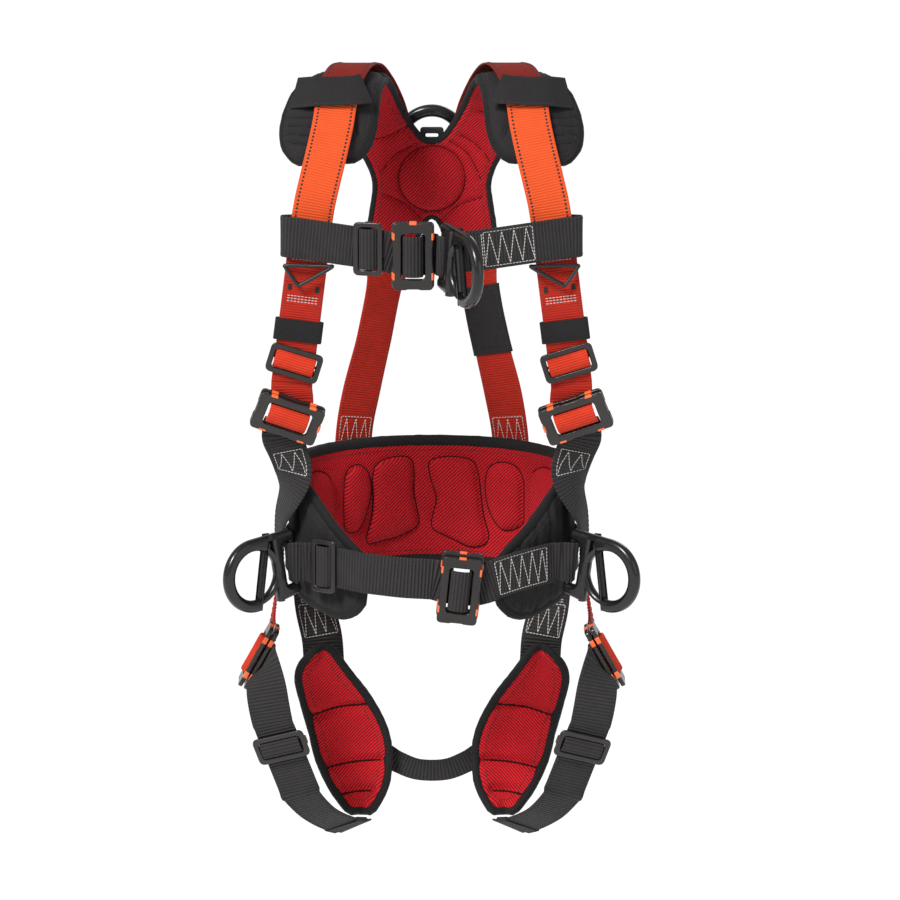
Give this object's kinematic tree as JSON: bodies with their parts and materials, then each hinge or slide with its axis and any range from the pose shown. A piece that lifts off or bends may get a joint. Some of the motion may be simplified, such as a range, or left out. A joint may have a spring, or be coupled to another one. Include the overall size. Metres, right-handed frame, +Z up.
{
  "type": "climbing harness",
  "caption": "Full-body climbing and work-positioning harness with padded yoke, lumbar belt, thigh pads, quick buckles and D-rings.",
  "frame": {"origin": "centre of the wearer's waist, level with the belt, where the belt holds the harness on the wearer", "axes": "+Z up along the wearer's spine, -Y the way the wearer faces, +X towards the wearer's left"},
  "size_m": [0.4598, 0.3662, 0.8634],
  "materials": {
    "orange_webbing": "bright orange polyester webbing, fine cross ribs",
    "red_webbing": "red polyester webbing, fine cross ribs",
    "black_webbing": "black polyester webbing, strong cross ribs",
    "red_mesh": "crimson spacer mesh with black binding",
    "black_fabric": "black woven fabric",
    "black_plastic": "black moulded plastic",
    "black_wire": "black coated wire",
    "forged_black": "black anodised forged alloy, semi-gloss",
    "coated_black": "black coated steel plate with orange marks"
  },
  "bodies": {
    "harness": {"back_yoke_pad": "red_mesh", "dorsal_plate": "black_plastic", "right_shoulder_pad": "black_fabric", "left_shoulder_pad": "black_fabric", "right_shoulder_sleeve": "black_fabric", "left_shoulder_sleeve": "black_fabric", "right_shoulder_strap": "orange_webbing", "left_shoulder_strap": "orange_webbing", "right_torso_strap": "red_webbing", "left_torso_strap": "red_webbing", "right_torso_buckle_back": "coated_black", "left_torso_buckle_back": "coated_black", "right_side_strap": "black_webbing", "left_side_strap": "black_webbing", "right_back_strap": "red_webbing", "left_back_strap": "red_webbing", "label_sleeve": "black_fabric", "right_chest_strap": "black_webbing", "left_chest_strap": "black_webbing", "chest_buckle_back": "coated_black", "waist_pad": "red_mesh", "belt_back": "black_webbing", "right_belt_front": "black_webbing", "left_belt_front": "black_webbing", "waist_buckle_back": "coated_black", "right_leg_web": "black_webbing", "left_leg_web": "black_webbing", "right_leg_pad": "red_mesh", "left_leg_pad": "red_mesh", "right_leg_side_strap": "red_webbing", "left_leg_side_strap": "red_webbing", "right_leg_buckle_back": "coated_black", "left_leg_buckle_back": "coated_black", "right_leg_strap": "black_webbing", "left_leg_strap": "black_webbing", "right_leg_keeper": "black_fabric", "left_leg_keeper": "black_fabric", "subpelvic_strap": "black_webbing"},
    "right_hip_ring": {"right_hip_ring": "forged_black"},
    "left_hip_ring": {"left_hip_ring": "forged_black"},
    "sternal_ring": {"sternal_ring": "forged_black"},
    "dorsal_ring": {"dorsal_ring": "forged_black"},
    "chest_buckle_front": {"chest_buckle_front": "coated_black"},
    "waist_buckle_front": {"waist_buckle_front": "coated_black"},
    "right_torso_buckle_front": {"right_torso_buckle_front": "coated_black"},
    "left_torso_buckle_front": {"left_torso_buckle_front": "coated_black"},
    "right_leg_buckle_front": {"right_leg_buckle_front": "coated_black"},
    "left_leg_buckle_front": {"left_leg_buckle_front": "coated_black"},
    "right_triangle_ring": {"right_triangle_ring": "black_wire"},
    "left_triangle_ring": {"left_triangle_ring": "black_wire"},
    "chest_adjuster": {"chest_adjuster": "coated_black"},
    "waist_adjuster": {"waist_adjuster": "coated_black"},
    "right_torso_adjuster": {"right_torso_adjuster": "coated_black"},
    "right_torso_keeper": {"right_torso_keeper": "black_fabric"},
    "left_torso_adjuster": {"left_torso_adjuster": "coated_black"},
    "left_torso_keeper": {"left_torso_keeper": "black_fabric"},
    "right_leg_adjuster": {"right_leg_adjuster": "coated_black"},
    "left_leg_adjuster": {"left_leg_adjuster": "coated_black"}
  },
  "joints": [
    {"name": "right_hip_ring_swing", "type": "hinge", "parent": "harness", "child": "right_hip_ring", "pos_m": [-0.152, -0.066, -0.009], "axis": [-0.1368, -0.1069, 0.9848], "range_deg": [-45, 40]},
    {"name": "left_hip_ring_swing", "type": "hinge", "parent": "harness", "child": "left_hip_ring", "pos_m": [0.152, -0.066, -0.009], "axis": [-0.1368, 0.1069, -0.9848], "range_deg": [-45, 40]},
    {"name": "sternal_ring_swing", "type": "hinge", "parent": "harness", "child": "sternal_ring", "pos_m": [0.013, -0.129, 0.344], "axis": [0.0588, -0.1261, 0.9903], "range_deg": [-25, 45]},
    {"name": "dorsal_ring_fold", "type": "hinge", "parent": "harness", "child": "dorsal_ring", "pos_m": [0, 0.142, 0.367], "axis": [-1, 0, 0], "range_deg": [0, 110]},
    {"name": "chest_buckle_tilt", "type": "hinge", "parent": "harness", "child": "chest_buckle_front", "pos_m": [-0.042, -0.1319, 0.343], "axis": [0, 0, -1], "range_deg": [0, 22]},
    {"name": "waist_buckle_tilt", "type": "hinge", "parent": "harness", "child": "waist_buckle_front", "pos_m": [0.0086, -0.1359, -0.02467], "axis": [-0.1045, 0, -0.9945], "range_deg": [0, 22]},
    {"name": "right_torso_buckle_tilt", "type": "hinge", "parent": "harness", "child": "right_torso_buckle_front", "pos_m": [-0.14948, -0.09606, 0.1753], "axis": [-0.9397, -0.0827, 0.3319], "range_deg": [0, 22]},
    {"name": "left_torso_buckle_tilt", "type": "hinge", "parent": "harness", "child": "left_torso_buckle_front", "pos_m": [0.14948, -0.09606, 0.1753], "axis": [-0.9397, 0.0827, -0.3319], "range_deg": [0, 22]},
    {"name": "right_leg_buckle_tilt", "type": "hinge", "parent": "harness", "child": "right_leg_buckle_front", "pos_m": [-0.19297, -0.025, -0.11747], "axis": [-0.4848, 0, -0.8746], "range_deg": [0, 22]},
    {"name": "left_leg_buckle_tilt", "type": "hinge", "parent": "harness", "child": "left_leg_buckle_front", "pos_m": [0.19297, -0.025, -0.11747], "axis": [-0.4848, 0, 0.8746], "range_deg": [0, 22]},
    {"name": "right_triangle_ring_swing", "type": "hinge", "parent": "harness", "child": "right_triangle_ring", "pos_m": [-0.134, -0.0975, 0.326], "axis": [-0.9946, 0.1036, 0], "range_deg": [0, 75]},
    {"name": "left_triangle_ring_swing", "type": "hinge", "parent": "harness", "child": "left_triangle_ring", "pos_m": [0.134, -0.0975, 0.326], "axis": [-0.9946, -0.1036, 0], "range_deg": [0, 75]},
    {"name": "chest_adjuster_slide", "type": "slide", "parent": "harness", "child": "chest_adjuster", "axis": [-0.9652, 0.2442, 0.0936], "range_m": [0, 0.025]},
    {"name": "waist_adjuster_slide", "type": "slide", "parent": "harness", "child": "waist_adjuster", "axis": [0.8035, -0.5946, -0.0281], "range_m": [0, 0.018]},
    {"name": "right_torso_adjuster_slide", "type": "slide", "parent": "harness", "child": "right_torso_adjuster", "axis": [0.124, 0, 0.9923], "range_m": [0, 0.035]},
    {"name": "right_torso_keeper_slide", "type": "slide", "parent": "harness", "child": "right_torso_keeper", "axis": [0.124, 0, 0.9923], "range_m": [0, 0.035]},
    {"name": "left_torso_adjuster_slide", "type": "slide", "parent": "harness", "child": "left_torso_adjuster", "axis": [-0.124, 0, 0.9923], "range_m": [0, 0.035]},
    {"name": "left_torso_keeper_slide", "type": "slide", "parent": "harness", "child": "left_torso_keeper", "axis": [-0.124, 0, 0.9923], "range_m": [0, 0.035]},
    {"name": "right_leg_adjuster_slide", "type": "slide", "parent": "harness", "child": "right_leg_adjuster", "axis": [0.3208, 0.266, -0.909], "range_m": [0, 0.03]},
    {"name": "left_leg_adjuster_slide", "type": "slide", "parent": "harness", "child": "left_leg_adjuster", "axis": [-0.3208, 0.266, -0.909], "range_m": [0, 0.03]}
  ],
  "couplings": [
    {"joint": "right_torso_keeper_slide", "follows": "right_torso_adjuster_slide", "ratio": 1},
    {"joint": "left_torso_keeper_slide", "follows": "left_torso_adjuster_slide", "ratio": 1}
  ]
}
